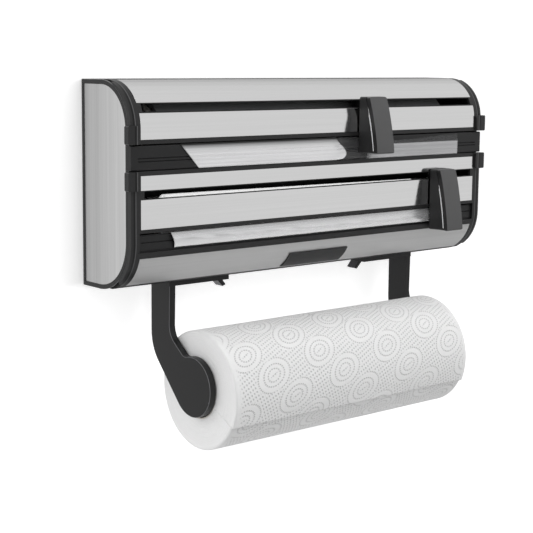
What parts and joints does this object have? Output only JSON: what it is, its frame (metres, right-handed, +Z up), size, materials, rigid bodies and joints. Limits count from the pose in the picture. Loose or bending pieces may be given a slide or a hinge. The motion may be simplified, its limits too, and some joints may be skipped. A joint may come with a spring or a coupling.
{
  "type": "cling film dispenser",
  "caption": "Wall-mounted dispenser with two flap compartments for cling film and foil, sliding cutters, and arms below that carry a kitchen paper roll.",
  "frame": {"origin": "middle of the housing's back face, on the wall", "axes": "+X along the rolls to the right seen from the front, front faces -Y, +Y into the wall, +Z up"},
  "size_m": [0.374, 0.1093, 0.2771],
  "materials": {
    "housing_plastic": "satin black, fine moulded grain",
    "flap_plastic": "satin black",
    "badge_plastic": "satin black, plain",
    "knob_plastic": "satin dark grey",
    "knob_cover_plastic": "satin dark grey",
    "slider_plastic": "plain black",
    "arm_plastic": "satin dark grey",
    "side_steel": "brushed upright",
    "flap_steel": "brushed along its length",
    "blade_steel": "ground",
    "tube_card": "plain wound card",
    "cling_film": "clear film, milky where wound",
    "cling_film_sheet": "clear stretched film",
    "foil": "bright rolled foil",
    "kitchen_paper": "white embossed tissue"
  },
  "bodies": {
    "housing": {"back_shell": "housing_plastic", "left_end_cap": "housing_plastic", "right_end_cap": "housing_plastic", "left_side_panel": "side_steel", "right_side_panel": "side_steel", "middle_bar": "housing_plastic", "film_sheet": "cling_film_sheet"},
    "upper_flap": {"upper_flap_frame": "flap_plastic", "upper_top_panel": "flap_steel", "upper_front_panel": "flap_steel"},
    "lower_flap": {"lower_flap_frame": "flap_plastic", "lower_strip": "flap_steel", "lower_front_panel": "flap_steel", "lower_bottom_panel": "flap_steel", "foil_exit_plate": "flap_plastic", "nameplate": "badge_plastic", "foil_sheet": "foil"},
    "upper_cutter": {"upper_cutter_knob": "knob_plastic", "upper_cutter_cover": "knob_cover_plastic", "upper_cutter_slider": "slider_plastic", "upper_cutter_blade": "blade_steel"},
    "lower_cutter": {"lower_cutter_knob": "knob_plastic", "lower_cutter_cover": "knob_cover_plastic", "lower_cutter_slider": "slider_plastic", "lower_cutter_blade": "blade_steel"},
    "cling_film": {"film_roll": "cling_film", "film_tube": "tube_card"},
    "foil": {"foil_roll": "foil", "foil_tube": "tube_card"},
    "left_arm": {"left_arm": "arm_plastic"},
    "right_arm": {"right_arm": "arm_plastic"},
    "paper": {"paper_roll": "kitchen_paper", "paper_tube": "tube_card"}
  },
  "joints": [
    {"name": "upper_flap_hinge", "type": "hinge", "parent": "housing", "child": "upper_flap", "pos_m": [0, -0.028, 0.0723], "axis": [-1, 0, 0], "range_deg": [0, 85]},
    {"name": "lower_flap_hinge", "type": "hinge", "parent": "housing", "child": "lower_flap", "pos_m": [0, -0.041, -0.0694], "axis": [1, 0, 0], "range_deg": [0, 60]},
    {"name": "upper_cutter_slide", "type": "slide", "parent": "upper_flap", "child": "upper_cutter", "axis": [1, 0, 0], "range_m": [-0.208, 0.112]},
    {"name": "lower_cutter_slide", "type": "slide", "parent": "lower_flap", "child": "lower_cutter", "axis": [1, 0, 0], "range_m": [-0.29, 0.03]},
    {"name": "cling_film_spin", "type": "hinge", "parent": "housing", "child": "cling_film", "pos_m": [0, -0.028, 0.042], "axis": [1, 0, 0], "continuous": true},
    {"name": "foil_spin", "type": "hinge", "parent": "housing", "child": "foil", "pos_m": [0, -0.033, -0.03], "axis": [1, 0, 0], "continuous": true},
    {"name": "left_arm_slide", "type": "slide", "parent": "housing", "child": "left_arm", "axis": [-1, 0, 0], "range_m": [0, 0.016]},
    {"name": "right_arm_slide", "type": "slide", "parent": "housing", "child": "right_arm", "axis": [1, 0, 0], "range_m": [0, 0.016]},
    {"name": "paper_spin", "type": "hinge", "parent": "housing", "child": "paper", "pos_m": [0, -0.063, -0.1545], "axis": [1, 0, 0], "continuous": true}
  ]
}
